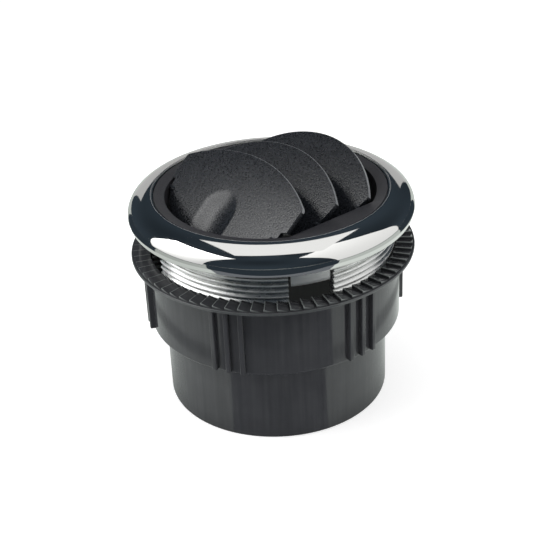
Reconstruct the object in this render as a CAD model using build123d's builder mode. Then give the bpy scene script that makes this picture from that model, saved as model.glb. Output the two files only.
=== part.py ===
from build123d import *
import math
import os

# Round louvre outlet for an air duct, in millimetres. The origin is the centre of the duct end,
# +Z is the way the air leaves, and -Y is the side that faces the viewer.

# Hose spigot and threaded cup, one moulded housing
spigot_d = 75.0
spigot_wall = 2.2
spigot_length = 27.5
spigot_lead_in = 0.6
step_width = 4.65
cup_wall = 1.45
cup_floor = 2.2
cup_height = 24.6
cup_edge_round = 0.8

# Grip ribs on the cup, in groups
rib_groups = 6
ribs_in_group = 3
rib_proud = 1.6
rib_width = 1.65
rib_pitch_deg = 6.3
rib_middle_deg = -111.6
rib_lift = 0.7
rib_round = 0.35

# Clamping flange with a ring of ratchet teeth
flange_width = 4.85
flange_thick = 1.0
flange_round = 0.3
tooth_count = 72
tooth_height = 1.1
tooth_sink = 0.2
tooth_outer_margin = 0.7
tooth_inner_margin = 0.3
tooth_fill = 0.98

# Plated bezel ring with a threaded skirt
panel_gap = 11.9
thread_clearance = 0.3
thread_depth = 0.9
thread_pitch = 2.0
thread_lead = 2.8
thread_tail = 1.2
skirt_wall = 2.3
skirt_length = 23.0
rim_overhang = 6.45
rim_height = 1.8
rim_taper = 0.45
rim_wall = 2.2
rim_round = 0.4
crown_edge_round = 0.35
crown_height = 6.5
shoulder_fullness = 0.82
groove_depth = 3.0
neck_wall = 2.4
seat_ledge = 1.2
seat_depth = 3.3

# Snap fingers in notches of the skirt
finger_count = 4
finger_middle_deg = -74.0
notch_width_deg = 21.0
finger_width_deg = 18.4
finger_thick = 2.2
finger_root = 0.5
hook_reach = 0.7
hook_height = 1.2

# Louvre carrier that turns in the bezel
turn_clearance = 0.1
axial_play = 0.05
rotor_wall = 2.6
rotor_sink = 0.4
rotor_depth = 14.1
band_drop = 0.9
cheek_depth = 4.6
cheek_height = 9.0
cheek_overlap = 0.5

# Louvre blades, all at the same tilt
louvre_azimuth_deg = 38.0
blade_tilt_deg = 40.0
blade_thick = 1.5
blade_gap = 0.45
blade_pitch = 16.55
blade_edge_round = 0.3
blade_corner_round = 0.8
front_reach = 21.7
middle_reach = 20.1
rear_reach = 18.9
front_edge_r = 53.0
middle_edge_r = 43.5
rear_edge_r = 38.0
front_wing = 13.7
middle_wing = 6.5
rear_wing = 9.5
end_taper = 1.7
relief_slope = 0.4
pivot_depth = 2.0
pin_d = 2.4
pin_engage = 1.5
pin_root = 3.0
pin_tip_gap = 0.2
pin_clearance = 0.05

# Finger scoop in the front blade
scoop_half_width = 7.6
scoop_depth = 1.2
scoop_wall = 1.3
scoop_nose = 7.7
scoop_offset = -1.5

# Crank arms under the blades, and the link bar that ties them
crank_r = 6.0
crank_lag_deg = 136.0
crank_arm_width = 3.8
crank_arm_thick = 1.5
crank_pin_d = 2.0
crank_from_axis = 18.0
link_thick = 1.4
link_height = 4.4
link_side_gap = 0.2
link_notch_margin = 0.4
link_notch_end = 2.2

# Radii, each fitted to the one outside it
spigot_r = spigot_d / 2
cup_r = spigot_r + step_width
cup_bore_r = cup_r - cup_wall
flange_r = cup_r + flange_width
crest_r = cup_bore_r - thread_clearance
root_r = crest_r - thread_depth
skirt_bore_r = root_r - skirt_wall
bezel_r = crest_r + rim_overhang
seat_r = skirt_bore_r + seat_ledge
rotor_r = skirt_bore_r - turn_clearance
rotor_flange_r = seat_r - turn_clearance
opening_r = rotor_r - rotor_wall
cheek = opening_r - cheek_depth
blade_rim_r = opening_r - blade_gap
blade_end = cheek - blade_gap

# Heights
flange_z = spigot_length + cup_height
flange_top = flange_z + flange_thick
bezel_z = flange_top + panel_gap
rim_z = bezel_z + rim_height
crown_z = rim_z + crown_height
seat_z = crown_z - seat_depth
skirt_bottom = bezel_z - skirt_length
face_outer_z = crown_z - rotor_sink
face_inner_z = face_outer_z - band_drop
rotor_bottom = face_outer_z - rotor_depth
hook_top = rotor_bottom - axial_play
finger_bottom = hook_top - hook_height
pivot_z = face_inner_z - pivot_depth

# Directions: the blades are stacked along stack_dir and turn about pivot_dir
azimuth = math.radians(louvre_azimuth_deg)
tilt = math.radians(blade_tilt_deg)
stack_dir = Vector(math.cos(azimuth), math.sin(azimuth), 0)
pivot_dir = Vector(math.sin(azimuth), -math.cos(azimuth), 0)
up_dir = Vector(0, 0, 1)
blade_dir = stack_dir * math.cos(tilt) + up_dir * math.sin(tilt)
blade_normal = up_dir * math.cos(tilt) - stack_dir * math.sin(tilt)

# Pivot places along stack_dir: the front one is set from the opening, the others follow at one pitch
front_pivot = front_wing - blade_rim_r
middle_pivot = front_pivot + blade_pitch
rear_pivot = middle_pivot + blade_pitch

# Crank pin, along and below the blade, and where the link bar lies along pivot_dir
crank_along = crank_r * math.cos(math.radians(crank_lag_deg))
crank_below = -crank_r * math.sin(math.radians(crank_lag_deg))
link_start = crank_arm_thick / 2 + link_side_gap - crank_from_axis

os.makedirs("parts", exist_ok=True)


def ring_sector(inner_r, outer_r, width_deg):
    """A flat slice of a ring, width_deg wide, with its middle on the X axis."""
    with BuildSketch() as sector:
        with BuildLine():
            outer = CenterArc((0, 0), outer_r, -width_deg / 2, width_deg)
            inner = CenterArc((0, 0), inner_r, -width_deg / 2, width_deg)
            Line(outer @ 0, inner @ 0)
            Line(outer @ 1, inner @ 1)
        make_face()
    return sector.sketch


def pivot_point(along):
    """The point on a blade's pivot axis in the middle of the opening."""
    return stack_dir * along + up_dir * pivot_z


def bearing_face(along):
    """How far from the middle the wall lies that a pivot at this place turns in."""
    return min(cheek, math.sqrt(opening_r**2 - along**2))


# Duct housing: spigot, step, cup and flange are turned from one section
with BuildPart() as tooth:
    tooth_start = cup_bore_r + tooth_inner_margin
    tooth_run = tooth_fill * 2 * math.pi * tooth_start / tooth_count
    with BuildSketch(Plane((tooth_start, 0, flange_top), x_dir=(0, 1, 0), z_dir=(1, 0, 0))):
        with BuildLine():
            Polyline(
                (0, -tooth_sink),
                (tooth_run, -tooth_sink),
                (tooth_run, 0),
                (0, tooth_height),
                close=True,
            )
        make_face()
    extrude(amount=flange_r - tooth_outer_margin - tooth_start)

with BuildPart() as duct_housing:
    with BuildSketch(Plane.XZ):
        with BuildLine():
            Polyline(
                (spigot_r - spigot_wall, 0),
                (spigot_r, 0),
                (spigot_r, spigot_length),
                (cup_r, spigot_length),
                (cup_r, flange_z),
                (flange_r, flange_z),
                (flange_r, flange_top),
                (cup_bore_r, flange_top),
                (cup_bore_r, spigot_length + cup_floor),
                (spigot_r - spigot_wall, spigot_length + cup_floor),
                close=True,
            )
        make_face()
    revolve(axis=Axis.Z)
    circles = duct_housing.edges().filter_by(GeomType.CIRCLE)
    fillet(circles.filter_by_position(Axis.Z, spigot_length, spigot_length).sort_by(SortBy.RADIUS)[-1],
           cup_edge_round)
    flange_rim = circles.filter_by_position(Axis.Z, flange_z, flange_top).sort_by(SortBy.RADIUS)[-2:]
    fillet(flange_rim, flange_round)
    spigot_end = duct_housing.edges().filter_by_position(Axis.Z, 0, 0).sort_by(SortBy.RADIUS)[-1]
    chamfer(spigot_end, spigot_lead_in)
    with BuildSketch(Plane.XY.offset(spigot_length + rib_lift)):
        for place in range(ribs_in_group):
            turn = rib_middle_deg + (place - (ribs_in_group - 1) / 2) * rib_pitch_deg
            with PolarLocations(cup_r + (rib_proud - cup_wall / 2) / 2, rib_groups, start_angle=turn):
                RectangleRounded(rib_proud + cup_wall / 2, rib_width, rib_round)
    extrude(amount=cup_height - rib_lift + flange_thick / 2)
    with PolarLocations(0, tooth_count):
        add(tooth.part)
duct_housing.part.label = "duct_housing"
export_step(duct_housing.part, "parts/duct_housing.step")

# Bezel ring: crown, rim, hollow underside and ridged skirt are turned from one section
ridge_count = int((skirt_length - thread_lead - thread_tail) / thread_pitch) + 1
skirt_side = [(root_r, bezel_z)]
for ridge in range(ridge_count):
    ridge_z = bezel_z - thread_lead - ridge * thread_pitch
    skirt_side.append((root_r, ridge_z + thread_pitch / 2))
    skirt_side.append((crest_r, ridge_z))
skirt_side.append((root_r, ridge_z - thread_pitch / 2))
skirt_side.append((root_r, skirt_bottom))

# The crown is a tight arc up from the rim, then a wide one that levels out at the inner edge
crown_width = bezel_r - seat_r
shoulder_r = shoulder_fullness * min(crown_width, crown_height)
shoulder_x = crown_width - shoulder_r
crown_r = (shoulder_x**2 + crown_height**2 - shoulder_r**2) / (2 * (crown_height - shoulder_r))
shoulder_deg = math.degrees(math.atan2(crown_r - crown_height, shoulder_x))

notch = ring_sector(skirt_bore_r - hook_reach, crest_r + thread_depth, notch_width_deg)
finger = ring_sector(skirt_bore_r, skirt_bore_r + finger_thick, finger_width_deg)
hook = ring_sector(skirt_bore_r - hook_reach, skirt_bore_r + finger_thick, finger_width_deg)

with BuildPart() as bezel_ring:
    with BuildSketch(Plane.XZ):
        with BuildLine():
            shoulder = CenterArc((bezel_r - shoulder_r, rim_z), shoulder_r, 0, shoulder_deg)
            crown = CenterArc((seat_r, crown_z - crown_r), crown_r, shoulder_deg, 90 - shoulder_deg)
            Polyline(
                shoulder @ 0,
                (bezel_r - rim_taper, bezel_z),
                (bezel_r - rim_wall, bezel_z),
                (bezel_r - rim_wall, bezel_z + groove_depth),
                (root_r + neck_wall, bezel_z + groove_depth),
                (root_r + neck_wall, bezel_z),
                *skirt_side,
                (skirt_bore_r, skirt_bottom),
                (skirt_bore_r, seat_z),
                (seat_r, seat_z),
                crown @ 1,
            )
        make_face()
    revolve(axis=Axis.Z)
    rim_edge = bezel_ring.edges().filter_by_position(Axis.Z, bezel_z, bezel_z).sort_by(SortBy.RADIUS)[-1]
    fillet(rim_edge, rim_round)
    crown_edge = bezel_ring.edges().filter_by_position(Axis.Z, crown_z, crown_z)
    fillet(crown_edge, crown_edge_round)
    with BuildSketch(Plane.XY.offset(skirt_bottom)):
        with PolarLocations(0, finger_count, start_angle=finger_middle_deg):
            add(notch)
    extrude(amount=skirt_length, mode=Mode.SUBTRACT)
    with BuildSketch(Plane.XY.offset(finger_bottom)):
        with PolarLocations(0, finger_count, start_angle=finger_middle_deg):
            add(finger)
    extrude(amount=bezel_z + finger_root - finger_bottom)
    with BuildSketch(Plane.XY.offset(finger_bottom)):
        with PolarLocations(0, finger_count, start_angle=finger_middle_deg):
            add(hook)
    extrude(amount=hook_height)
bezel_ring.part.label = "bezel_ring"
export_step(bezel_ring.part, "parts/bezel_ring.step")

# Rotor ring: a flanged sleeve with two straight cheeks that carry the pivots
cheek_plane = Plane((0, 0, face_inner_z - cheek_height), x_dir=stack_dir, z_dir=up_dir)

with BuildPart() as rotor_ring:
    with BuildSketch(Plane.XZ):
        with BuildLine():
            Polyline(
                (opening_r, rotor_bottom),
                (rotor_r, rotor_bottom),
                (rotor_r, seat_z + axial_play),
                (rotor_flange_r, seat_z + axial_play),
                (rotor_flange_r, face_outer_z),
                (opening_r, face_inner_z),
                close=True,
            )
        make_face()
    revolve(axis=Axis.Z)
    with BuildSketch(cheek_plane):
        Circle(opening_r + cheek_overlap)
        Rectangle(2 * rotor_r, 2 * cheek, mode=Mode.SUBTRACT)
    extrude(amount=cheek_height)
    for along in (front_pivot, middle_pivot, rear_pivot):
        bore_end = bearing_face(along) + pin_engage + pin_tip_gap
        with BuildSketch(Plane(pivot_point(along), x_dir=stack_dir, z_dir=pivot_dir)):
            Circle(pin_d / 2 + pin_clearance)
        extrude(amount=bore_end, both=True, mode=Mode.SUBTRACT)
rotor_ring.part.label = "rotor_ring"
export_step(rotor_ring.part, "parts/rotor_ring.step")


def blade_outline(along, reach, edge_r, wing):
    """A blade's outline: a round free edge, ends that taper to the pivots, and a straight back."""
    corner = reach - edge_r + math.sqrt(edge_r**2 - blade_end**2)
    pivot_end = blade_end - end_taper
    with BuildSketch(Plane(pivot_point(along), x_dir=blade_dir, z_dir=blade_normal)) as outline:
        with BuildLine():
            ThreePointArc((corner, -blade_end), (reach, 0), (corner, blade_end))
            Polyline((corner, blade_end), (0, pivot_end), (-wing, pivot_end))
            Line((-wing, pivot_end), (-wing, -pivot_end))
            Polyline((-wing, -pivot_end), (0, -pivot_end), (corner, -blade_end))
        make_face()
        fillet(outline.vertices(), blade_corner_round)
    return outline.sketch


def rim_blade_outline(along, reach, edge_r, wing):
    """The outline of a blade whose back follows the opening, drawn in beside its pivots."""
    corner = reach - edge_r + math.sqrt(edge_r**2 - blade_end**2)
    pivot_end = min(math.sqrt(blade_rim_r**2 - along**2), blade_end - blade_corner_round)
    relief = pivot_depth + blade_thick / 2 + blade_gap
    slope = relief + relief_slope * (blade_end - pivot_end)
    with BuildSketch(Plane(pivot_point(along), x_dir=blade_dir, z_dir=blade_normal)) as outline:
        with BuildLine():
            ThreePointArc((corner, -blade_end), (reach, 0), (corner, blade_end))
            Polyline((corner, blade_end), (slope, blade_end), (relief, pivot_end), (0, pivot_end))
            ThreePointArc((0, pivot_end), (-wing, 0), (0, -pivot_end))
            Polyline((0, -pivot_end), (relief, -pivot_end), (slope, -blade_end), (corner, -blade_end))
        make_face()
        fillet(outline.vertices(), blade_corner_round)
    return outline.sketch


def crank_plane(along, across):
    """A plane square to the pivot axis, with its X along the blade and its Y out of the blade."""
    return Plane(pivot_point(along) + pivot_dir * across, x_dir=blade_dir, z_dir=pivot_dir)


def scoop_profile(along, radius):
    """Half the section of a round-nosed bar that lies along the blade, above the scoop."""
    bar_r = (scoop_half_width**2 + scoop_depth**2) / (2 * scoop_depth)
    axis_height = blade_thick / 2 + bar_r - scoop_depth
    nose_start = scoop_nose - scoop_half_width
    origin = pivot_point(along) + pivot_dir * scoop_offset + blade_normal * axis_height
    with BuildSketch(Plane(origin, x_dir=blade_dir, z_dir=pivot_dir)) as half:
        with BuildLine():
            nose = CenterArc((nose_start, 0), bar_r + radius, 0, 90)
            Polyline(
                nose @ 1,
                (-2 * front_wing, bar_r + radius),
                (-2 * front_wing, 0),
                nose @ 0,
            )
        make_face()
    return half.sketch, Axis(origin, blade_dir)


def scoop_back(outline, bulge, bulge_axis):
    """The rounded back of the scoop, kept inside the blade's outline."""
    with BuildPart() as back:
        extrude(outline, amount=blade_thick / 2 + scoop_depth + scoop_wall, dir=-blade_normal)
        revolve(bulge, axis=bulge_axis, mode=Mode.INTERSECT)
    return back.part


def build_blade(name, along, reach, edge_r, wing):
    """One blade with its pivot pins, crank arm and crank pin, at the rest tilt."""
    with_scoop = along == front_pivot
    draw_outline = rim_blade_outline if with_scoop else blade_outline
    outline = draw_outline(along, reach, edge_r, wing)
    normal = Axis(pivot_point(along), blade_normal)
    with BuildPart() as blade:
        extrude(outline, amount=blade_thick / 2, dir=blade_normal, both=True)
        flats = blade.faces().sort_by(normal)
        fillet(flats[0].edges() + flats[-1].edges(), blade_edge_round)
        if with_scoop:
            bulge, bulge_axis = scoop_profile(along, scoop_wall)
            scoop, scoop_axis = scoop_profile(along, 0)
            add(scoop_back(outline, bulge, bulge_axis))
            revolve(scoop, axis=scoop_axis, mode=Mode.SUBTRACT)
        else:
            notch_width = link_thick + 2 * link_notch_margin
            notch_middle = link_start + link_thick / 2
            with BuildSketch(crank_plane(along, notch_middle)):
                with Locations((-link_notch_end - wing / 2, 0)):
                    Rectangle(wing, 2 * blade_thick)
            extrude(amount=notch_width / 2, both=True, mode=Mode.SUBTRACT)
        pin_end = bearing_face(along) + pin_engage
        for side in (-1, 1):
            with BuildSketch(crank_plane(along, side * (pin_end - pin_engage - pin_root))):
                Circle(pin_d / 2)
            extrude(amount=side * (pin_engage + pin_root))
        with BuildSketch(crank_plane(along, -crank_from_axis)):
            with Locations((crank_along, crank_below / 2)):
                Rectangle(crank_arm_width, -crank_below)
            with Locations((crank_along, crank_below)):
                Circle(crank_arm_width / 2)
        extrude(amount=crank_arm_thick / 2, both=True)
        with BuildSketch(crank_plane(along, -crank_from_axis)):
            with Locations((crank_along, crank_below)):
                Circle(crank_pin_d / 2)
        extrude(amount=crank_arm_thick / 2 + link_thick + 2 * link_side_gap)
    blade.part.label = name
    export_step(blade.part, f"parts/{name}.step")


# Louvre blades: the front one has the finger scoop, the other two are notched for the link bar
build_blade("vane_front", front_pivot, front_reach, front_edge_r, front_wing)
build_blade("vane_middle", middle_pivot, middle_reach, middle_edge_r, middle_wing)
build_blade("vane_rear", rear_pivot, rear_reach, rear_edge_r, rear_wing)

# Link bar: a flat bar with three eyes that keeps the blades parallel
crank_offset = blade_dir * crank_along + blade_normal * crank_below
link_middle = pivot_point(middle_pivot) + crank_offset + pivot_dir * link_start
link_pitch = middle_pivot - front_pivot

with BuildPart() as link_bar:
    with BuildSketch(Plane(link_middle, x_dir=stack_dir, z_dir=pivot_dir)):
        SlotCenterToCenter(2 * link_pitch, link_height)
        with GridLocations(link_pitch, 0, 3, 1):
            Circle(crank_pin_d / 2 + pin_clearance, mode=Mode.SUBTRACT)
    extrude(amount=link_thick)
link_bar.part.label = "link_bar"
export_step(link_bar.part, "parts/link_bar.step")
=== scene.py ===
import math

import bmesh
import bpy
import numpy as np
from mathutils import Matrix


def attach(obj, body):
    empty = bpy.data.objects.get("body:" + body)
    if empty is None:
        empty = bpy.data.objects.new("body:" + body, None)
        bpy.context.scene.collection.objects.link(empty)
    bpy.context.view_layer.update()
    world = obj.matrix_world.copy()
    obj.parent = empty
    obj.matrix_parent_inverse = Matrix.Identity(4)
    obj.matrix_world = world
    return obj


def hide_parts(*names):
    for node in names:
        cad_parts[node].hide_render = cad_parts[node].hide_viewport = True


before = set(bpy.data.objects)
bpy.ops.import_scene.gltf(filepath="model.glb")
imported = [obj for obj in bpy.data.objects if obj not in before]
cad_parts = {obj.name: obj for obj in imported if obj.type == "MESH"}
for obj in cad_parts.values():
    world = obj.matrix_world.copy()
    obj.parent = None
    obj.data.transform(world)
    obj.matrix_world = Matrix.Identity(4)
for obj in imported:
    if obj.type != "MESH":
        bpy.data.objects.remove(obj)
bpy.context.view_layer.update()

# Duct housing
# One glossy black ABS moulding: hose spigot, step, ribbed cup and clamping flange with ratchet teeth.
# The hose goes over the spigot, and the bezel screws into the cup from above, with the panel between.
MM = 0.001
spigot_r = 37.5
spigot_bore_r = 35.3
spigot_lead_in = 0.6
cup_r = 42.15
cup_bore_r = 40.7
step_z = 27.5
cup_floor_z = 29.7
cup_round = 0.8
flange_r = 47.0
flange_z = 52.1
flange_top = 53.1
flange_round = 0.3
rib_count = 6
ribs_in_group = 3
rib_pitch_deg = 6.3
rib_middle_deg = -111.6
rib_outer_r = 43.75
rib_half_width = 0.825
rib_round = 0.35
rib_z = 28.2
rib_sunk = 0.7
tooth_count = 72
tooth_height = 1.1
tooth_inner_r = 41.0
tooth_outer_r = 46.3
tooth_crest_round = 0.22
tooth_sunk = 0.2
tooth_gap = 0.02
# Strength of the painted highlight on the flange's rounded edges and on the tooth crests.
flange_edge_highlight = 0.1
tooth_crest_highlight = 0.5


def rounded(corners, steps=6, margin=0.06):
    """Closed outline from rows of (x, y, radius): each corner becomes the arc that touches both its sides.

    The arc's centre lies on the corner's bisector, radius / sin(half angle) away. A margin point on each
    side of the arc keeps the flats flat when they are shaded smooth.
    """
    corners = np.asarray(corners, float)
    point, radius = corners[:, :2], corners[:, 2:]
    before = np.roll(point, 1, 0) - point
    after = np.roll(point, -1, 0) - point
    before /= np.linalg.norm(before, axis=1, keepdims=True)
    after /= np.linalg.norm(after, axis=1, keepdims=True)
    half = np.arccos(np.clip((before * after).sum(1, keepdims=True), -1, 1)) / 2
    bisector = before + after
    bisector /= np.linalg.norm(bisector, axis=1, keepdims=True)
    centre = point + bisector * radius / np.sin(half)
    start = point + before * radius / np.tan(half)
    end = point + after * radius / np.tan(half)
    turn = math.pi - 2 * half
    t = np.linspace(0, 1, steps + 1)[None, :, None]
    arc = (np.sin((1 - t) * turn[:, None]) * (start - centre)[:, None]
           + np.sin(t * turn[:, None]) * (end - centre)[:, None]) / np.sin(turn)[:, None]
    arc = centre[:, None] + arc
    side = np.minimum(margin, radius)
    rows = np.concatenate([(start + before * side)[:, None], arc, (end + after * side)[:, None]], 1)
    line = rows.reshape(-1, 2)
    keep = np.linalg.norm(line - np.roll(line, 1, 0), axis=1) > 1e-6
    return line[keep]


def turned(profile, angles):
    """A profile of (radius, height, wear) carried round Z: x = r cos(angle), y = r sin(angle), z = height."""
    radius = profile[:, :1]
    x = radius * np.cos(angles)
    kept = [np.broadcast_to(profile[:, k:k + 1], x.shape) for k in range(1, profile.shape[1])]
    return np.stack([x, radius * np.sin(angles), *kept], -1)


def capped(rows):
    """Closes a stack of loops: each end loop is folded on to the line midway between its two halves."""
    ends = (rows[..., :1, :, :] + rows[..., :1, ::-1, :]) / 2
    tops = (rows[..., -1:, :, :] + rows[..., -1:, ::-1, :]) / 2
    return np.concatenate([ends, rows, tops], -3)


def turned_copies(points, angles_deg):
    """Copies of a grid of points turned about Z by each angle, stacked in front."""
    a = np.radians(np.asarray(angles_deg))
    c, s = [f.reshape(-1, *[1] * (points.ndim - 1)) for f in (np.cos(a), np.sin(a))]
    x, y = points[..., 0], points[..., 1]
    kept = [np.broadcast_to(points[..., k], (len(a), *x.shape)) for k in range(2, points.shape[-1])]
    return np.stack([x * c - y * s, x * s + y * c, *kept], -1)


def moulding(name, material, *grids, sharp_deg=34):
    """One mesh from grids of loops in mm, each (copies, loops, points of a loop, 3), or without copies.

    Neighbouring points make a quad. A loop always closes on itself. The first and last loops are joined
    as well where they don't fold to a line, so a turned profile closes into a ring. A grid whose enclosed
    volume comes out negative has its faces turned round. A fourth number at a point is the point's mark:
    it mixes the finish toward a pale tint, a painted highlight on edges and crests, and on chrome it also
    makes the plating duller.
    """
    points, wear_and_highlight_values, faces, base = [], [], [], 0
    for grid in grids:
        grid = grid.reshape(-1, *grid.shape[-3:])
        copies, loops, across = grid.shape[:3]
        folded = np.allclose(grid[0, 0], grid[0, 0, ::-1])
        index = np.arange(copies * loops * across).reshape(copies, loops, across)
        index = index if folded else np.concatenate([index, index[:, :1]], 1)
        near, far = index[:, :-1], index[:, 1:]
        quads = np.stack([near, np.roll(near, -1, 2), np.roll(far, -1, 2), far], -1).reshape(-1, 4)
        flat = grid.reshape(-1, grid.shape[-1])
        a, b, c, d = (flat[quads[:, k], :3] for k in range(4))
        volume = (np.cross(a, b) * c).sum() + (np.cross(a, c) * d).sum()
        points.append(flat[:, :3] * MM)
        wear_and_highlight_values.append(flat[:, 3:].sum(1))
        faces.append((quads if volume > 0 else quads[:, ::-1]) + base)
        base += len(flat)
    mesh = bpy.data.meshes.new(name)
    mesh.from_pydata(np.concatenate(points).tolist(), [], np.concatenate(faces).tolist())
    mesh.attributes.new("wear_and_highlight", "FLOAT", "POINT").data.foreach_set("value", np.concatenate(wear_and_highlight_values))
    work = bmesh.new()
    work.from_mesh(mesh)
    bmesh.ops.remove_doubles(work, verts=work.verts, dist=1e-7)
    bmesh.ops.dissolve_degenerate(work, edges=work.edges, dist=1e-8)
    work.to_mesh(mesh)
    work.free()
    mesh.shade_smooth()
    mesh.set_sharp_from_angle(angle=math.radians(sharp_deg))
    mesh.materials.append(material)
    piece = bpy.data.objects.new(name, mesh)
    bpy.context.scene.collection.objects.link(piece)
    return piece


def linear(hex_colour):
    """An sRGB hex colour as linear RGBA: c / 12.92 below 0.04045, ((c + 0.055) / 1.055) ** 2.4 above."""
    c = np.array([int(hex_colour[k:k + 2], 16) for k in (1, 3, 5)]) / 255
    c = np.where(c <= 0.04045, c / 12.92, ((c + 0.055) / 1.055) ** 2.4)
    return (*c.tolist(), 1.0)


def add_node(tree, kind, inputs=None, **settings):
    """Adds a node with its settings. Each input is a value, or the socket that it is linked from."""
    node = tree.nodes.new(kind)
    for key, value in settings.items():
        setattr(node, key, value)
    for key, value in (inputs or {}).items():
        if isinstance(value, bpy.types.NodeSocket):
            tree.links.new(value, node.inputs[key])
        else:
            node.inputs[key].default_value = value
    return node


def new_material(name):
    """An empty node material with its output node."""
    material = bpy.data.materials.new(name)
    material.use_nodes = True
    material.node_tree.nodes.clear()
    return material, material.node_tree, add_node(material.node_tree, "ShaderNodeOutputMaterial")


# Polished black ABS: clear reflections that soften in slow flow clouds, with upright drag marks.
# Tooth crests and the flange's edges are drawn pale: painted highlight lines.
gloss_abs, tree, output = new_material("abs_gloss_black")
flow_mm = 14
drag_mm = 1.6
place = add_node(tree, "ShaderNodeTexCoord").outputs["Object"]
flow = add_node(tree, "ShaderNodeTexNoise", {"Vector": place, "Scale": 1 / (flow_mm * MM), "Detail": 3.0})
stretch = add_node(tree, "ShaderNodeMapping", {"Vector": place, "Scale": (1.0, 1.0, 0.04)})
drag = add_node(tree, "ShaderNodeTexNoise", {
    "Vector": stretch.outputs[0], "Scale": 1 / (drag_mm * MM), "Detail": 3.0})
wear_and_highlight = add_node(tree, "ShaderNodeAttribute", attribute_name="wear_and_highlight").outputs["Fac"]
haze = add_node(tree, "ShaderNodeMath", {
    0: flow.outputs["Fac"], 1: drag.outputs["Fac"]}, operation="MULTIPLY")
streak = add_node(tree, "ShaderNodeMapRange", {
    "Value": haze.outputs[0], "From Min": 0.12, "From Max": 0.4})
tint = add_node(tree, "ShaderNodeMix", {
    "Factor": streak.outputs[0], "A": linear("#3a3b3e"), "B": linear("#454649")}, data_type="RGBA")
# Painted highlight: marked points, the tooth crests and flange edges, are mixed toward a pale grey.
tint = add_node(tree, "ShaderNodeMix", {
    "Factor": wear_and_highlight, "A": tint.outputs["Result"], "B": linear("#a9b0ae")}, data_type="RGBA")
rough = add_node(tree, "ShaderNodeMapRange", {
    "Value": haze.outputs[0], "From Min": 0.1, "From Max": 0.45, "To Min": 0.07, "To Max": 0.17})
ripple = add_node(tree, "ShaderNodeBump", {
    "Height": flow.outputs["Fac"], "Strength": 0.05, "Distance": 0.4 * MM})
shader = add_node(tree, "ShaderNodeBsdfPrincipled", {
    "Base Color": tint.outputs["Result"], "Roughness": rough.outputs[0], "IOR": 1.5,
    "Normal": ripple.outputs[0]})
tree.links.new(shader.outputs[0], output.inputs[0])

around = np.radians(np.arange(0, 360, 1.5))
shell = rounded([
    (spigot_bore_r, 0, 0.2), (spigot_r, 0, spigot_lead_in), (spigot_r, step_z, 0.25),
    (cup_r, step_z, cup_round), (cup_r, flange_z, 0.25), (flange_r, flange_z, flange_round),
    (flange_r, flange_top, flange_round), (cup_bore_r, flange_top, 0.2),
    (cup_bore_r, cup_floor_z, 0.4), (spigot_bore_r, cup_floor_z, 0.4)])
# Painted highlight on the flange's rounded rim.
shell_edge_highlight = flange_edge_highlight * (shell[:, 0] > flange_r - flange_round)
housing_shell = moulding("housing_shell", gloss_abs, turned(np.column_stack([shell, shell_edge_highlight]), around))


def rib_loop(z, inset):
    """Rounded bar section at one height, drawn in by inset at its lower end."""
    half, outer = rib_half_width - inset, rib_outer_r - inset
    section = rounded([(cup_r - rib_sunk, -half, 0), (outer, -half, rib_round), (outer, half, rib_round),
                       (cup_r - rib_sunk, half, 0)])
    return np.column_stack([section, np.full(len(section), z)])


rib = capped(np.stack([rib_loop(rib_z, 0.25), rib_loop(rib_z + 0.07, 0.1), rib_loop(rib_z + 0.25, 0),
                       rib_loop(rib_z + 0.35, 0), rib_loop(flange_z + 0.3, 0)]))
rib_step = (np.arange(ribs_in_group) - (ribs_in_group - 1) / 2) * rib_pitch_deg
rib_angles = (rib_middle_deg + np.arange(rib_count)[:, None] * 360 / rib_count + rib_step).ravel()
housing_ribs = moulding("housing_ribs", gloss_abs, turned_copies(rib, rib_angles))

tooth_mid_r = (tooth_inner_r + tooth_outer_r) / 2
tooth_run = tooth_mid_r * 2 * math.pi / tooth_count
tooth_foot = tooth_run - tooth_gap
tooth_side = rounded([(0, -tooth_sunk, 0), (tooth_foot, -tooth_sunk, 0), (tooth_foot, tooth_gap, 0),
                      (0, tooth_height, tooth_crest_round)], steps=3, margin=0.04)
tooth_r = np.array([tooth_inner_r, tooth_inner_r + 0.1, tooth_outer_r - 0.1, tooth_outer_r])[:, None]
tooth_drop = np.array([0.1, 0, 0, 0.1])[:, None] * (tooth_side[:, 1] > 0.05)
tooth_angle = tooth_side[:, 0] / tooth_mid_r
# Painted highlight along each tooth's crest arc.
crest_highlight = np.zeros(tooth_drop.shape)
crest_highlight[:, -5:-1] = tooth_crest_highlight  # the points of the crest's arc
tooth = capped(np.stack([tooth_r * np.cos(tooth_angle), tooth_r * np.sin(tooth_angle),
                         flange_top + tooth_side[:, 1] - tooth_drop, crest_highlight], -1))
tooth_angles = np.arange(tooth_count) * 360 / tooth_count
housing_teeth = moulding("housing_teeth", gloss_abs, turned_copies(tooth, tooth_angles))
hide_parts("duct_housing")
for piece in (housing_shell, housing_ribs, housing_teeth):
    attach(piece, "housing")

# Bezel ring
# ABS plated with bright chrome: a rounded crown on a hollow rim, with a threaded skirt in four quarters.
# Four snap fingers stand in the skirt's notches, and their hooks hold the rotor from below.
seat_r = 38.4
seat_z = 70.0
crown_z = 73.3
crown_edge_round = 0.5
shoulder_centre = (41.52, 66.8)
shoulder_r = 5.33
shoulder_end_deg = 48.9
crown_centre = (38.4, 63.225)
crown_r = 10.075
underside_z = 65.0
groove_z = 68.0
neck_r = 41.9
rim_inner_r = 44.65
rim_foot_r = 46.4
rim_top_r = 46.85
rim_round = 0.4
skirt_bore_r = 37.2
skirt_z = 42.0
skirt_sunk = 0.2
thread_root_r = 39.5
thread_crest_r = 40.4
thread_pitch = 2.0
thread_turns = 12
thread_top_z = 62.2
notch_deg = 21.0
notch_first_deg = -74.0
finger_deg = 18.4
finger_outer_r = 39.4
finger_z = 57.55
hook_top_z = 58.75
hook_r = 36.5
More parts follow.
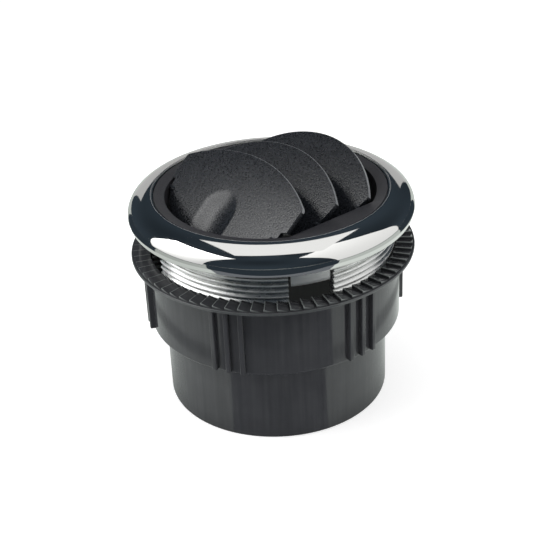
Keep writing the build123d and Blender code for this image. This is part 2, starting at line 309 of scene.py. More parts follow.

# Bright chrome over moulded ABS: a cool mirror, with slow ripples where the plastic under it shrank.
# The plating is duller on the thin inner edge, and its tint is paler there, a painted highlight that shows as
# a pale line.
chrome, tree, output = new_material("chrome_plate_bright")
shrink_mm = 20
mist_mm = 3
place = add_node(tree, "ShaderNodeTexCoord").outputs["Object"]
shrink = add_node(tree, "ShaderNodeTexNoise", {"Vector": place, "Scale": 1 / (shrink_mm * MM), "Detail": 1.0})
mist = add_node(tree, "ShaderNodeTexNoise", {"Vector": place, "Scale": 1 / (mist_mm * MM), "Detail": 4.0})
wear_and_highlight = add_node(tree, "ShaderNodeAttribute", attribute_name="wear_and_highlight").outputs["Fac"]
rough = add_node(tree, "ShaderNodeMapRange", {
    "Value": mist.outputs["Fac"], "From Min": 0.35, "From Max": 0.75, "To Min": 0.03, "To Max": 0.08})
rough = add_node(tree, "ShaderNodeMath", {0: wear_and_highlight, 1: 0.45, 2: rough.outputs[0]}, operation="MULTIPLY_ADD")
ripple = add_node(tree, "ShaderNodeBump", {
    "Height": shrink.outputs["Fac"], "Strength": 0.1, "Distance": 0.6 * MM})
# Painted highlight on the crown's inner edge: its tint is mixed toward near-white there.
tint = add_node(tree, "ShaderNodeMix", {
    "Factor": wear_and_highlight, "A": linear("#d4d4d2"), "B": linear("#fbfbfa")}, data_type="RGBA")
shader = add_node(tree, "ShaderNodeBsdfPrincipled", {
    "Base Color": tint.outputs["Result"], "Metallic": 1.0, "Roughness": rough.outputs[0],
    "Normal": ripple.outputs[0]})
tree.links.new(shader.outputs[0], output.inputs[0])

# The same chrome on the skirt, where plating is thinner and duller: streaks run round with the thread.
# The thread's crests and the snap fingers are drawn duller and paler still; on the crests the pale tint is a
# painted highlight.
skirt_chrome, tree, output = new_material("chrome_plate_satin")
streak_mm = 1.1
place = add_node(tree, "ShaderNodeTexCoord").outputs["Object"]
stretch = add_node(tree, "ShaderNodeMapping", {"Vector": place, "Scale": (0.25, 0.25, 1.0)})
streak = add_node(tree, "ShaderNodeTexNoise", {
    "Vector": stretch.outputs[0], "Scale": 1 / (streak_mm * MM), "Detail": 4.0})
wear_and_highlight = add_node(tree, "ShaderNodeAttribute", attribute_name="wear_and_highlight").outputs["Fac"]
rough = add_node(tree, "ShaderNodeMapRange", {
    "Value": streak.outputs["Fac"], "From Min": 0.3, "From Max": 0.7, "To Min": 0.14, "To Max": 0.30})
rough = add_node(tree, "ShaderNodeMath", {0: wear_and_highlight, 1: 0.35, 2: rough.outputs[0]}, operation="MULTIPLY_ADD")
tint = add_node(tree, "ShaderNodeMix", {
    "Factor": streak.outputs["Fac"], "A": linear("#b4b6b5"), "B": linear("#d6d7d5")}, data_type="RGBA")
# Painted highlight on the thread's crests: the tint is mixed toward near-white there; the snap fingers get
# the same paler tint.
tint = add_node(tree, "ShaderNodeMix", {
    "Factor": wear_and_highlight, "A": tint.outputs["Result"], "B": linear("#fbfbfa")}, data_type="RGBA")
shader = add_node(tree, "ShaderNodeBsdfPrincipled", {
    "Base Color": tint.outputs["Result"], "Metallic": 1.0, "Roughness": rough.outputs[0]})
tree.links.new(shader.outputs[0], output.inputs[0])


def arc_line(centre, radius, first_deg, last_deg, count):
    """Points of a circle arc in the profile plane: centre + radius (cos, sin)."""
    a = np.radians(np.linspace(first_deg, last_deg, count))
    return np.column_stack([centre[0] + radius * np.cos(a), centre[1] + radius * np.sin(a)])


edge_centre = (seat_r + crown_edge_round, crown_z - crown_edge_round)
crown_stop_deg = math.degrees(math.acos((edge_centre[0] - crown_centre[0]) / crown_r))
under = rounded([
    (seat_r, edge_centre[1], 0), (seat_r, seat_z, 0.1), (skirt_bore_r, seat_z, 0.1),
    (skirt_bore_r, underside_z, 0.1), (neck_r, underside_z, 0.15), (neck_r, groove_z, 0.3),
    (rim_inner_r, groove_z, 0.3), (rim_inner_r, underside_z, 0.3), (rim_foot_r, underside_z, rim_round),
    (rim_top_r, shoulder_centre[1], 0)])
edge_points = 5
crown_profile = np.concatenate([
    under, arc_line(shoulder_centre, shoulder_r, 3, shoulder_end_deg, 20)[:-1],
    arc_line(crown_centre, crown_r, shoulder_end_deg, crown_stop_deg, 24),
    arc_line(edge_centre, crown_edge_round, 78, 12, edge_points)])
# The crown's rounded inner edge is marked: duller plating and a painted highlight.
crown_edge_dull_and_highlight = np.arange(len(crown_profile)) >= len(crown_profile) - edge_points
crown_profile = np.column_stack([crown_profile, crown_edge_dull_and_highlight])
bezel_crown = moulding("bezel_crown", chrome, turned(crown_profile, np.radians(np.arange(0, 360, 1.25))))

# Rows of the thread run up the skirt: each turn has a root, two flanks and a narrow crest, drawn duller and
# paler, a painted highlight line.
skirt_top_z = underside_z + skirt_sunk
ridge_z = thread_top_z - thread_pitch * np.arange(thread_turns)[::-1, None]
ridge_dz = np.array([-0.96, -0.34, -0.17, 0.0, 0.17, 0.34, 0.96])
ridge_r = np.array([0, 0.86, 0.97, 1.0, 0.97, 0.86, 0]) * (thread_crest_r - thread_root_r) + thread_root_r
# How strongly each row is drawn duller with a painted highlight: full on the crest, a little on the flanks.
ridge_dull_and_highlight = np.array([0, 0.2, 1, 1, 1, 0.2, 0])
thread_z = np.concatenate([(ridge_z + ridge_dz).ravel(), [underside_z - 0.6, skirt_top_z]])[:, None]
thread_r = np.concatenate([np.tile(ridge_r, thread_turns), [thread_root_r, thread_root_r]])[:, None]
thread_dull_and_highlight = np.concatenate([np.tile(ridge_dull_and_highlight, thread_turns), [0, 0]])[:, None]


def skirt_quarter(first_deg, last_deg):
    """One quarter of the skirt: loops go out along the thread and back along the bore.

    The thread's rows fall by one pitch a turn, and are held between the skirt's foot and its neck.
    """
    a = np.radians(np.linspace(first_deg, last_deg, 56))
    z = np.clip(thread_z - thread_pitch * a / (2 * math.pi), skirt_z, skirt_top_z)
    outer = np.stack([thread_r * np.cos(a), thread_r * np.sin(a), z,
                      np.broadcast_to(thread_dull_and_highlight, z.shape)], -1)
    bore = np.stack([np.broadcast_to(skirt_bore_r * np.cos(a), z.shape),
                     np.broadcast_to(skirt_bore_r * np.sin(a), z.shape), z, np.zeros_like(z)], -1)
    return capped(np.concatenate([outer, bore[:, ::-1]], 1))


notch_angles = notch_first_deg + 90 * np.arange(4)
quarters = np.stack([skirt_quarter(a + notch_deg / 2, a + 90 - notch_deg / 2) for a in notch_angles])
bezel_skirt = moulding("bezel_skirt", skirt_chrome, quarters, sharp_deg=24)

# Rows of a finger from its foot up: height, outer radius and inner radius, with the hook at the foot.
finger_rows = np.array([
    (finger_z, finger_outer_r - 0.2, hook_r + 0.25), (finger_z + 0.08, finger_outer_r - 0.07, hook_r + 0.1),
    (finger_z + 0.2, finger_outer_r, hook_r), (hook_top_z - 0.12, finger_outer_r, hook_r),
    (hook_top_z, finger_outer_r, hook_r + 0.1), (hook_top_z + 0.01, finger_outer_r, skirt_bore_r),
    (underside_z + 0.3, finger_outer_r, skirt_bore_r)])
finger_points = 17
finger_a = np.radians(np.linspace(-finger_deg / 2, finger_deg / 2, finger_points))
finger_loop_a = np.concatenate([finger_a, finger_a[::-1]])
finger_loop_r = np.repeat(finger_rows[:, 1:], finger_points, 1)
finger_loop_z = np.repeat(finger_rows[:, :1], 2 * finger_points, 1)
finger = capped(np.stack([finger_loop_r * np.cos(finger_loop_a), finger_loop_r * np.sin(finger_loop_a),
                          finger_loop_z, np.ones_like(finger_loop_r)], -1))
bezel_fingers = moulding("bezel_fingers", skirt_chrome, turned_copies(finger, notch_angles))
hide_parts("bezel_ring")
for piece in (bezel_crown, bezel_skirt, bezel_fingers):
    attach(piece, "bezel")

# Rotor ring
# Matte black ABS from a spark-eroded mould: a carrier that turns in the bezel, and rests on its seat.
# Two straight cheeks across the opening hold the blades' pivots.
rotor_r = 37.1
rotor_flange_r = 38.1  # a little small, so that the gap to the bezel shows as a dark line
rotor_z = 58.8
rotor_flange_z = 70.05
rotor_lip_z = 72.9
rotor_face_z = 72.0
opening_r = 34.5
cheek_reach = 29.9
cheek_z = 63.0
pivot_dir_deg = -52.0

# Fine spark-eroded grain: dull, slightly speckled black with a soft sheen at grazing angles.
matte_abs, tree, output = new_material("abs_matte_black")
grain_mm = 0.5  # drawn about three times coarser than the real grain, so that it shows
cloud_mm = 11
place = add_node(tree, "ShaderNodeTexCoord").outputs["Object"]
grain = add_node(tree, "ShaderNodeTexNoise", {"Vector": place, "Scale": 1 / (grain_mm * MM), "Detail": 2.0})
cloud = add_node(tree, "ShaderNodeTexNoise", {"Vector": place, "Scale": 1 / (cloud_mm * MM), "Detail": 3.0})
speck = add_node(tree, "ShaderNodeMapRange", {
    "Value": grain.outputs["Fac"], "From Min": 0.3, "From Max": 0.72})
tint = add_node(tree, "ShaderNodeMix", {
    "Factor": speck.outputs[0], "A": linear("#26262a"), "B": linear("#37373b")}, data_type="RGBA")
rough = add_node(tree, "ShaderNodeMapRange", {
    "Value": cloud.outputs["Fac"], "From Min": 0.3, "From Max": 0.7, "To Min": 0.44, "To Max": 0.54})
bump = add_node(tree, "ShaderNodeBump", {
    "Height": grain.outputs["Fac"], "Strength": 0.22, "Distance": 0.12 * MM})
shader = add_node(tree, "ShaderNodeBsdfPrincipled", {
    "Base Color": tint.outputs["Result"], "Roughness": rough.outputs[0], "IOR": 1.52,
    "Normal": bump.outputs[0]})
tree.links.new(shader.outputs[0], output.inputs[0])

# Outline of the ring's section. Inside, above the cheeks' underside, its radius follows the opening.
rotor_outline = rounded([
    (rotor_r, rotor_z, 0.2), (rotor_r, rotor_flange_z, 0.1), (rotor_flange_r, rotor_flange_z, 0.1),
    (rotor_flange_r, rotor_lip_z, 0.25), (opening_r, rotor_face_z, 0.2),
    (opening_r, rotor_z, 0.2)], steps=5)
inner = rotor_outline[:, 0] < opening_r + 0.5
follows = inner & (rotor_outline[:, 1] > cheek_z)
last_follow = np.nonzero(follows)[0][-1]
cheek_edge = np.array([(opening_r, cheek_z + 0.1), (opening_r, cheek_z), (opening_r, cheek_z),
                       (opening_r, cheek_z - 0.1)])
rotor_profile = np.insert(rotor_outline, last_follow + 1, cheek_edge, 0)
follow = np.insert(follows.astype(float), last_follow + 1, [1, 1, 0, 0])[:, None]
corner_deg = math.degrees(math.acos(cheek_reach / opening_r))
corner_angles = [(pivot_dir_deg + turn + side * corner_deg) % 360 for turn in (0, 180) for side in (-1, 1)]
rotor_a = np.radians(np.unique(np.concatenate([np.arange(0, 360, 1.5), corner_angles])))
cheek_cos = np.abs(np.cos(rotor_a - math.radians(pivot_dir_deg)))
opening = np.minimum(opening_r, cheek_reach / np.maximum(cheek_cos, 1e-6))
ring_r = rotor_profile[:, :1] + follow * (opening - opening_r)
ring = np.stack([ring_r * np.cos(rotor_a), ring_r * np.sin(rotor_a),
                 np.broadcast_to(rotor_profile[:, 1:], ring_r.shape)], -1)
rotor_carrier = moulding("rotor_carrier", matte_abs, ring)
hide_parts("rotor_ring")
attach(rotor_carrier, "rotor")

# Louvre blades
# Three matte black ABS blades on short pivots, parallel and tilted alike; the front one has a finger scoop.
# A crank arm under each carries a pin for the link bar.
blade_tilt_deg = 40.0
blade_turn_deg = 38.0
pivot_z = 70.0
blade_half = 0.75
blade_edge_round = 0.3
blade_end = 29.45
blade_taper = 1.7
corner_round = 0.8
corner_cut = 0.2
scoop_half_width = 7.6
scoop_nose = 7.7
scoop_offset = -1.5
scoop_depth = 1.2
scoop_back_wall = 1.3
pin_r = 1.2
pin_engage = 1.5
pin_sunk = 3.0
crank_s = -4.316
crank_n = -4.168
crank_half_width = 1.9
crank_half_thick = 0.75
crank_v = -18.0
crank_pin_r = 1.0
crank_pin_v = -15.45
notch_v = (-17.45, -15.25)
notch_s = -2.2
front_pivot_end = 27.3
front_relief_s = 3.2
front_slope_s = 4.06
front_bearing = 27.86
bow_along_r = 1000.0

# Spark-eroded ABS: each grain is a small glossy dimple, so light breaks into fine glints on a dark ground.
# The free edges are drawn pale: a painted highlight along their rounding.
blade_abs, tree, output = new_material("abs_grained_black")
place = add_node(tree, "ShaderNodeTexCoord").outputs["Object"]
grain = add_node(tree, "ShaderNodeTexNoise", {"Vector": place, "Scale": 1 / (grain_mm * MM), "Detail": 2.0})
wear_and_highlight = add_node(tree, "ShaderNodeAttribute", attribute_name="wear_and_highlight").outputs["Fac"]
speck = add_node(tree, "ShaderNodeMapRange", {
    "Value": grain.outputs["Fac"], "From Min": 0.3, "From Max": 0.72})
tint = add_node(tree, "ShaderNodeMix", {
    "Factor": speck.outputs[0], "A": linear("#07090c"), "B": linear("#2b2e34")}, data_type="RGBA")
# Painted highlight: the free edges' tint is mixed toward pale grey.
tint = add_node(tree, "ShaderNodeMix", {
    "Factor": wear_and_highlight, "A": tint.outputs["Result"], "B": linear("#94979a")}, data_type="RGBA")
rough = add_node(tree, "ShaderNodeMapRange", {"Value": speck.outputs[0], "To Min": 0.21, "To Max": 0.36})
bump = add_node(tree, "ShaderNodeBump", {
    "Height": grain.outputs["Fac"], "Strength": 0.5, "Distance": 0.12 * MM})
shader = add_node(tree, "ShaderNodeBsdfPrincipled", {
    "Base Color": tint.outputs["Result"], "Roughness": rough.outputs[0], "IOR": 1.52,
    "Normal": bump.outputs[0]})
tree.links.new(shader.outputs[0], output.inputs[0])

turn, tilt = math.radians(blade_turn_deg), math.radians(blade_tilt_deg)
across_dir = np.array([math.cos(turn), math.sin(turn), 0])
pivot_dir = np.array([math.sin(turn), -math.cos(turn), 0])
blade_dir = across_dir * math.cos(tilt) + np.array([0, 0, math.sin(tilt)])
normal_dir = -across_dir * math.sin(tilt) + np.array([0, 0, math.cos(tilt)])


def in_blade(along, s, v, n):
    """Points from blade coordinates: pivot + s up the blade + v along the pivot + n off its face."""
    pivot = across_dir * along + np.array([0, 0, pivot_z])
    s, v, n = np.broadcast_arrays(s, v, n)
    return pivot + s[..., None] * blade_dir + v[..., None] * pivot_dir + n[..., None] * normal_dir


def scoop_dip(s, v):
    """Depth of the finger scoop: a trough with a round nose, soft on its near side and crisp on the other.

    With rho the distance from the trough's middle line over its half width, the crisp side dips by
    1 - rho squared and the soft side by its square.
    """
    v = v - scoop_offset
    past_nose = np.maximum(0, s - (scoop_nose - scoop_half_width))
    rho = np.minimum(1, np.hypot(v, past_nose) / scoop_half_width)
    bowl = 1 - rho ** 2
    crisp = 0.5 + 0.5 * v / np.hypot(v, 2.5)
    return scoop_depth * (crisp * bowl + (1 - crisp) * bowl ** 2)


def bow(s, v, bow_r, middle, pivot_end):
    """Crown of the blade's faces, nil at the pivots.

    It falls off with the square of s - middle over 2 bow_r, and with that of v over 2 bow_along_r.
    """
    return (2 * middle * s - s ** 2) / (2 * bow_r) + (pivot_end ** 2 - v ** 2) / (2 * bow_along_r)


def blade_slab(along, reach, edge_r, wing, bow_r, middle, scooped):
    """A blade as loops across it, one for each station v along the pivot, with a rounded edge all round.

    The free edge is an arc of radius edge_r. The back is straight with a notch for the link bar, or, on the
    scooped blade, an arc through the pivots. Beside the pivots the ends are drawn in to clear the carrier,
    along a line from step_s at the pivots to end_s at the full width.
    """
    if scooped:
        pivot_end, step_s, end_s, tip = front_pivot_end, front_relief_s, front_slope_s, blade_end
    else:
        pivot_end, step_s, tip = blade_end - blade_taper, 0.0, blade_end - corner_cut
        end_s = reach - edge_r + math.sqrt(edge_r ** 2 - blade_end ** 2)
    sweep = np.sin(np.linspace(0, math.pi / 2, 9)) - 1
    ends = tip + corner_round * sweep
    step_v = np.concatenate([pivot_end + corner_round * sweep, pivot_end + np.array([0.005, 0.15, 0.4, 0.7])])
    cut_v = np.add.outer(notch_v, (-0.005, 0.005)).ravel()
    v = np.concatenate([-ends, ends, -step_v, step_v, np.linspace(-ends[0], ends[0], 121), cut_v])
    v = np.unique(v.round(6))
    width = np.abs(v)
    front = reach - edge_r + np.sqrt(edge_r ** 2 - v ** 2)
    back = np.where((v > notch_v[0]) & (v < notch_v[1]), notch_s, -wing)
    if scooped:
        rim_r = (pivot_end ** 2 + wing ** 2) / (2 * wing)
        back = rim_r - wing - np.sqrt(rim_r ** 2 - np.minimum(width, pivot_end) ** 2)
    turned_in = np.clip(width - pivot_end + corner_round, 0, corner_round)
    back = back + corner_round - np.sqrt(corner_round ** 2 - turned_in ** 2)
    drawn_in = step_s + (end_s - step_s) * (width - pivot_end) / (blade_end - pivot_end)
    back = np.where(width > pivot_end, drawn_in, back)
    if scooped:
        near_end = np.clip(width - blade_end + corner_round, 0, corner_round)
        front = front - corner_round + np.sqrt(corner_round ** 2 - near_end ** 2)
    front, back = front[:, None], back[:, None]
    bend = np.linspace(0, math.pi / 2, 5)
    edge_in = blade_edge_round * (1 - np.cos(bend))
    edge_h = blade_half - blade_edge_round * (1 - np.sin(bend))
    t = np.concatenate([[0.004], np.linspace(0, 1, 92 if scooped else 24)[1:-1], [0.996]])
    inside = back + blade_edge_round + (front - back - 2 * blade_edge_round) * t
    s = np.concatenate([back + edge_in, inside, front - edge_in[::-1]], 1)
    h = np.concatenate([edge_h, np.full(len(t), blade_half), edge_h[::-1]])
    end_x = np.clip((width - tip) / blade_edge_round + 1, 0, 1)
    end_h = blade_half - blade_edge_round * (1 - np.sqrt(1 - end_x ** 2))
    h = np.minimum(h, end_h[:, None])
    dip = scoop_dip(s, v[:, None]) if scooped else np.zeros_like(s)
    rise = bow(s, v[:, None], bow_r, middle, pivot_end)
    face = in_blade(along, s, v[:, None], rise + h - dip)
    back_dip = np.maximum(0, dip - (2 * blade_half - scoop_back_wall))
    back_face = in_blade(along, s, v[:, None], rise - h - back_dip)
    # Painted highlight along the free edge's rounding, on both faces: its last points are marked.
    wear_and_highlight = np.zeros((*h.shape, 1))
    wear_and_highlight[:, -5:, 0] = np.clip(1.4 * (1 - np.sin(bend[::-1])), 0, 1)
    face, back_face = np.concatenate([face, wear_and_highlight], -1), np.concatenate([back_face, wear_and_highlight], -1)
    return capped(np.concatenate([face, back_face[:, ::-1]], 1))


def pin(along, s, n, radius, v_root, v_tip):
    """A round pin along the pivot direction, with a small chamfer at its tip."""
    a = (np.arange(24) + 0.5) * 2 * math.pi / 24
    chamfer = 0.15
    v = np.array([v_root, v_tip - math.copysign(chamfer, v_tip - v_root), v_tip])[:, None]
    r = np.array([radius, radius, radius - chamfer])[:, None]
    return capped(in_blade(along, s + r * np.cos(a), v, n + r * np.sin(a)))


def crank_arm(along):
    """A flat arm under the blade, round at its foot, as one outline carried through its thickness."""
    outline = rounded([(crank_s - crank_half_width, -0.2, 0),
                       (crank_s - crank_half_width, crank_n - crank_half_width, 1.8),
                       (crank_s + crank_half_width, crank_n - crank_half_width, 1.8),
                       (crank_s + crank_half_width, -0.2, 0)])
    v = crank_v + crank_half_thick * np.array([-1, 1])[:, None]
    return capped(in_blade(along, outline[:, 0], v, outline[:, 1]))


# Pivot place, reach, free edge radius, wing, and radius and middle of the bow of each blade.
blades = {"front": (-20.35, 21.7, 53.0, 13.7, 150.0, 8.0), "middle": (-3.8, 20.1, 43.5, 6.5, 270.0, 1.0),
          "rear": (12.75, 18.9, 38.0, 9.5, 270.0, 1.0)}
for name, (along, reach, edge_r, wing, bow_r, middle) in blades.items():
    scooped = name == "front"
    bearing = front_bearing if scooped else cheek_reach
    slab = blade_slab(along, reach, edge_r, wing, bow_r, middle, scooped)
    blade = moulding(
        f"blade_{name}", blade_abs, slab, crank_arm(along),
        pin(along, 0, 0, pin_r, bearing - pin_sunk, bearing + pin_engage),
        pin(along, 0, 0, pin_r, pin_sunk - bearing, -bearing - pin_engage),
        pin(along, crank_s, crank_n, crank_pin_r, crank_v, crank_pin_v))
    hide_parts(f"vane_{name}")
    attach(blade, f"{name}_blade")

# Link bar
# A flat black acetal strip with three eyes, snapped on the crank pins so that the blades stay parallel.
# It is a plain punched shape, so the modelled solid stays and gets its finish here.
link_flow_mm = 2.5

# Acetal: waxy dark grey with a soft sheen and faint flow clouds.
acetal, tree, output = new_material("acetal_black")
place = add_node(tree, "ShaderNodeTexCoord").outputs["Object"]
flow = add_node(tree, "ShaderNodeTexNoise", {
    "Vector": place, "Scale": 1 / (link_flow_mm * MM), "Detail": 3.0})
tint = add_node(tree, "ShaderNodeMix", {
    "Factor": flow.outputs["Fac"], "A": linear("#1e1f21"), "B": linear("#2c2d30")}, data_type="RGBA")
rough = add_node(tree, "ShaderNodeMapRange", {
    "Value": flow.outputs["Fac"], "From Min": 0.3, "From Max": 0.7, "To Min": 0.32, "To Max": 0.42})
shader = add_node(tree, "ShaderNodeBsdfPrincipled", {
    "Base Color": tint.outputs["Result"], "Roughness": rough.outputs[0], "IOR": 1.48})
tree.links.new(shader.outputs[0], output.inputs[0])
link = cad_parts["link_bar"]
link.data.materials.clear()
link.data.materials.append(acetal)

# Floor and studio light
# A white floor that keeps the shadow, two tall side boxes and one overhead, in a darkened room.
# Chrome shows the boxes and the dark between them; the flags that make the dark are seen by gloss only.
floor_half = 3.0
floor_fill = 0.57
ambient = 0.30
room_dark = "#313a42"
room_near = "#7c8086"
room_floor = "#d3d9d5"
room_back = "#cacaca"
box_x = 0.40
plinth_x = 0.398
plinth_z = 0.012
top_box_z = 0.8
wall_y = 1.2
wall_z = 0.52
room_r = 2.4
cloth_z = 0.0002
flag_z = 0.0004
flag_reach = 2.3


def panel(*corners):
    """A four-cornered card as a grid.

    The corners go round it in order, and are blended by (1 - a)(1 - b), a(1 - b), ab and (1 - a)b.
    """
    a, b = np.meshgrid(np.linspace(0, 1, 13), np.linspace(0, 1, 13))
    share = np.stack([(1 - a) * (1 - b), a * (1 - b), a * b, (1 - a) * b], -1)
    return share @ np.array(corners, float)


def stage_card(name, grid, colour, lights):
    """A card of the studio from a grid of (x, y, z, glow) in metres: the camera doesn't see its light."""
    material, tree, output = new_material(name)
    glow = add_node(tree, "ShaderNodeAttribute", attribute_name="glow").outputs["Fac"]
    light = add_node(tree, "ShaderNodeEmission", {"Color": linear(colour), "Strength": glow})
    tree.links.new(light.outputs[0], output.inputs[0])
    index = np.arange(grid.shape[0] * grid.shape[1]).reshape(grid.shape[:2])
    quads = np.stack([index[:-1, :-1], index[:-1, 1:], index[1:, 1:], index[1:, :-1]], -1).reshape(-1, 4)
    mesh = bpy.data.meshes.new(name)
    mesh.from_pydata(grid[..., :3].reshape(-1, 3).tolist(), [], quads.tolist())
    mesh.attributes.new("glow", "FLOAT", "POINT").data.foreach_set("value", grid[..., 3].ravel())
    mesh.materials.append(material)
    card = bpy.data.objects.new(name, mesh)
    bpy.context.scene.collection.objects.link(card)
    card.visible_camera = False
    card.visible_shadow = False
    card.visible_transmission = False
    card.visible_diffuse = lights


def floor_sector(first_deg, last_deg, near):
    """A wedge of floor from a near radius out, between bearings: 0 faces the viewer, right is positive."""
    bearing = np.radians(np.linspace(first_deg, last_deg, 25))
    r = np.array([near, flag_reach])[:, None]
    x = r * np.sin(bearing)
    return np.stack([x, -r * np.cos(bearing), np.full_like(x, flag_z), np.ones_like(x)], -1)


# White floor: the camera sees it lifted to pure white, but not inside the duct, where the object shades it.
floor_material, tree, output = new_material("studio_floor_white")
rays = add_node(tree, "ShaderNodeLightPath")
place = add_node(tree, "ShaderNodeTexCoord").outputs["Object"]
distance = add_node(tree, "ShaderNodeVectorMath", {0: place}, operation="LENGTH")
wall_r = (spigot_bore_r + spigot_r) / 2 * MM
outside = add_node(tree, "ShaderNodeMath", {
    0: distance.outputs["Value"], 1: wall_r}, operation="GREATER_THAN")
fill = add_node(tree, "ShaderNodeMath", {
    0: rays.outputs["Is Camera Ray"], 1: floor_fill}, operation="MULTIPLY")
fill = add_node(tree, "ShaderNodeMath", {0: outside.outputs[0], 1: fill.outputs[0]}, operation="MULTIPLY")
mirrored = add_node(tree, "ShaderNodeMath", {
    0: rays.outputs["Is Glossy Ray"], 1: rays.outputs["Is Transmission Ray"]}, operation="MAXIMUM")
matte = add_node(tree, "ShaderNodeBsdfDiffuse", {"Color": linear("#f2f2f2")})
lift = add_node(tree, "ShaderNodeEmission", {"Color": linear("#ffffff"), "Strength": fill.outputs[0]})
seen = add_node(tree, "ShaderNodeAddShader", {0: matte.outputs[0], 1: lift.outputs[0]})
white = add_node(tree, "ShaderNodeEmission", {"Color": linear("#ffffff"), "Strength": 1.0})
mix = add_node(tree, "ShaderNodeMixShader", {
    0: mirrored.outputs[0], 1: seen.outputs[0], 2: white.outputs[0]})
tree.links.new(mix.outputs[0], output.inputs[0])
floor_mesh = bpy.data.meshes.new("studio_floor")
floor_mesh.from_pydata([
    (-floor_half, -floor_half, 0), (floor_half, -floor_half, 0), (floor_half, floor_half, 0),
    (-floor_half, floor_half, 0)], [], [(0, 1, 2, 3)])
floor_mesh.materials.append(floor_material)
floor = bpy.data.objects.new("studio_floor", floor_mesh)
bpy.context.scene.collection.objects.link(floor)

# Corners as (x, y, z, glow). Both side boxes are dimmer at the foot, over a dark plinth, and the left one is
# brightest at its upper back corner.
stage_card("studio_left_box", panel(
    (-box_x, -0.312, 0, 0.85), (-box_x, 0.05, 0, 1.0), (-box_x, 0.165, 0.55, 7.0),
    (-box_x, -0.46, 1.0, 1.5)), "#ffffff", True)
stage_card("studio_right_box", panel(
    (box_x, -0.386, 0, 1.05), (box_x, 0.10, 0, 1.05), (box_x, 0.107, 1.0, 1.5),
    (box_x, -0.80, 1.45, 1.5)), "#ffffff", True)
stage_card("studio_top_box", panel(
    (-0.25, -0.156, top_box_z, 1.2), (0.33, -0.156, top_box_z, 1.2), (0.33, 0.53, top_box_z, 1.2),
    (-0.25, 0.53, top_box_z, 1.2)), "#ffffff", True)
stage_card("studio_back_wall", panel(
    (-0.6, wall_y, 0, 1), (0.6, wall_y, 0, 1), (0.6, wall_y, wall_z, 1),
    (-0.6, wall_y, wall_z, 1)), room_back, False)
stage_card("studio_left_plinth", panel(
    (-plinth_x, -0.32, 0, 1), (-plinth_x, 0.14, 0, 1), (-plinth_x, 0.14, plinth_z, 1),
    (-plinth_x, -0.32, plinth_z, 1)), room_dark, False)
stage_card("studio_right_plinth", panel(
    (plinth_x, -0.40, 0, 1), (plinth_x, 0.11, 0, 1), (plinth_x, 0.11, plinth_z, 1),
    (plinth_x, -0.40, plinth_z, 1)), room_dark, False)

# The floor as gloss sees it: radii and glow outward from the duct's middle. Inside the duct and near its wall
# the glow is dimmed, a painted shade, with a painted dim ring that the bezel's foot shows.
# It is dimmer by up to a fifth on the left, also a painted shade.
whole = np.radians(np.arange(0, 361, 7.5))
cloth_r = np.array([0, 0.0352, 0.0354, 0.045, 0.06, 0.082, 0.085, 0.092, 0.095, 0.136, 0.14, flag_reach])
cloth_r = cloth_r[:, None]
cloth_glow_and_shade = np.array([0.4, 0.4, 0.5, 1.1, 1.4, 1.4, 0.7, 0.7, 1.4, 1.4, 1, 1])[:, None]
cloth_glow_and_shade = cloth_glow_and_shade * (1 - 0.2 * np.maximum(0, -np.cos(whole)))
cloth_x = cloth_r * np.cos(whole)
stage_card("studio_floor_cloth", np.stack([
    cloth_x, cloth_r * np.sin(whole), np.full_like(cloth_x, cloth_z), cloth_glow_and_shade], -1), room_floor, False)

# Flags on the floor, dark at the back corners and in front. The front one's sides start at the spigot's
# wall and run out along bearings of their own, so the wall shows a dark panel with upright edges.
# Its first tenth of a metre is less dark.
flag_from = np.radians([-25, 24.3])
flag_along = np.radians([-51, 48.5])
flag_far = np.array([0, 0.1, flag_reach])[:, None]
flag_x = spigot_r * MM * np.sin(flag_from) + flag_far * np.sin(flag_along)
flag_y = -spigot_r * MM * np.cos(flag_from) - flag_far * np.cos(flag_along)
flag = np.stack([flag_x, flag_y, np.full_like(flag_x, flag_z), np.ones_like(flag_x)], -1)
stage_card("studio_near_flag", flag[:2], room_near, False)
stage_card("studio_front_flag", flag[1:], room_dark, False)
stage_card("studio_left_flag", floor_sector(-93, -140, 0.13), room_dark, False)
stage_card("studio_right_flag", floor_sector(105, 140, 0.16), room_dark, False)

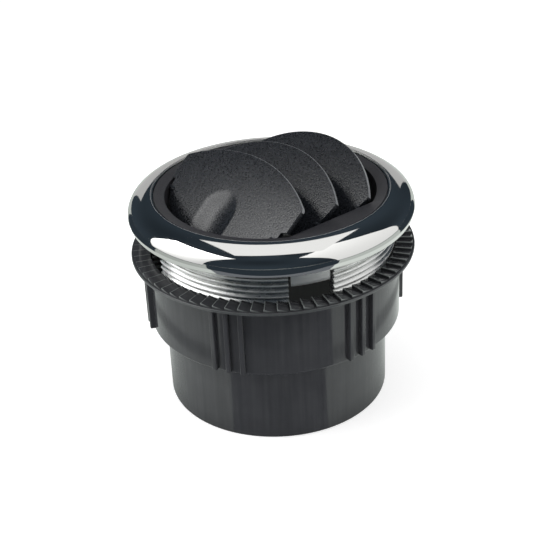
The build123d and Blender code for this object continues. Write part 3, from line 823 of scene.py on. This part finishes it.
# The dark room itself: a dome that only gloss sees, uneven in its dark, and behind every box.
rise = np.radians(np.linspace(0, 90, 13))[:, None]
dome_x = room_r * np.cos(rise) * np.cos(whole)
dome_y = room_r * np.cos(rise) * np.sin(whole)
dome_z = np.broadcast_to(room_r * np.sin(rise), dome_x.shape)
dome_glow = 1 + 0.3 * np.sin(3 * whole + 0.6) * np.sin(5 * rise + 1.0)
stage_card("studio_room", np.stack([dome_x, dome_y, dome_z, dome_glow], -1), room_dark, False)

world = bpy.data.worlds.new("studio_world")
bpy.context.scene.world = world
world.use_nodes = True
tree = world.node_tree
tree.nodes.clear()
rays = add_node(tree, "ShaderNodeLightPath")
seen = add_node(tree, "ShaderNodeMath", {0: rays.outputs["Is Camera Ray"], 1: rays.outputs["Is Glossy Ray"]},
                operation="MAXIMUM")
seen = add_node(tree, "ShaderNodeMath", {0: seen.outputs[0], 1: rays.outputs["Is Transmission Ray"]},
                operation="MAXIMUM")
level = add_node(tree, "ShaderNodeMapRange", {"Value": seen.outputs[0], "To Min": ambient, "To Max": 1.0})
sky = add_node(tree, "ShaderNodeBackground", {"Color": linear("#ffffff"), "Strength": level.outputs[0]})
output = add_node(tree, "ShaderNodeOutputWorld", {"Surface": sky.outputs[0]})
bpy.context.scene.view_settings.view_transform = "Standard"

# Camera
# At the photograph's angle: 29 degrees above the floor, straight in front, with a slight roll.
camera_at = (-2.465 * MM, -353.780 * MM, 239.315 * MM)
camera_down_deg = 28.985
camera_roll_deg = 2.83
camera_lens = 81.05
look, roll = math.radians(camera_down_deg), math.radians(camera_roll_deg)
forward = np.array([0, math.cos(look), -math.sin(look)])
level_up = np.array([0, math.sin(look), math.cos(look)])
level_right = np.array([1, 0, 0])
right = level_right * math.cos(roll) - level_up * math.sin(roll)
up = level_up * math.cos(roll) + level_right * math.sin(roll)
camera_data = bpy.data.cameras.new("studio_camera")
camera_data.lens = camera_lens
camera_data.sensor_width = 36
camera_data.clip_start = 0.01
camera_data.clip_end = 20
camera = bpy.data.objects.new("studio_camera", camera_data)
axes = np.column_stack([right, up, -forward]).tolist()
camera.matrix_world = Matrix([(*row, at) for row, at in zip(axes, camera_at)] + [(0, 0, 0, 1)])
bpy.context.scene.collection.objects.link(camera)
bpy.context.scene.camera = camera
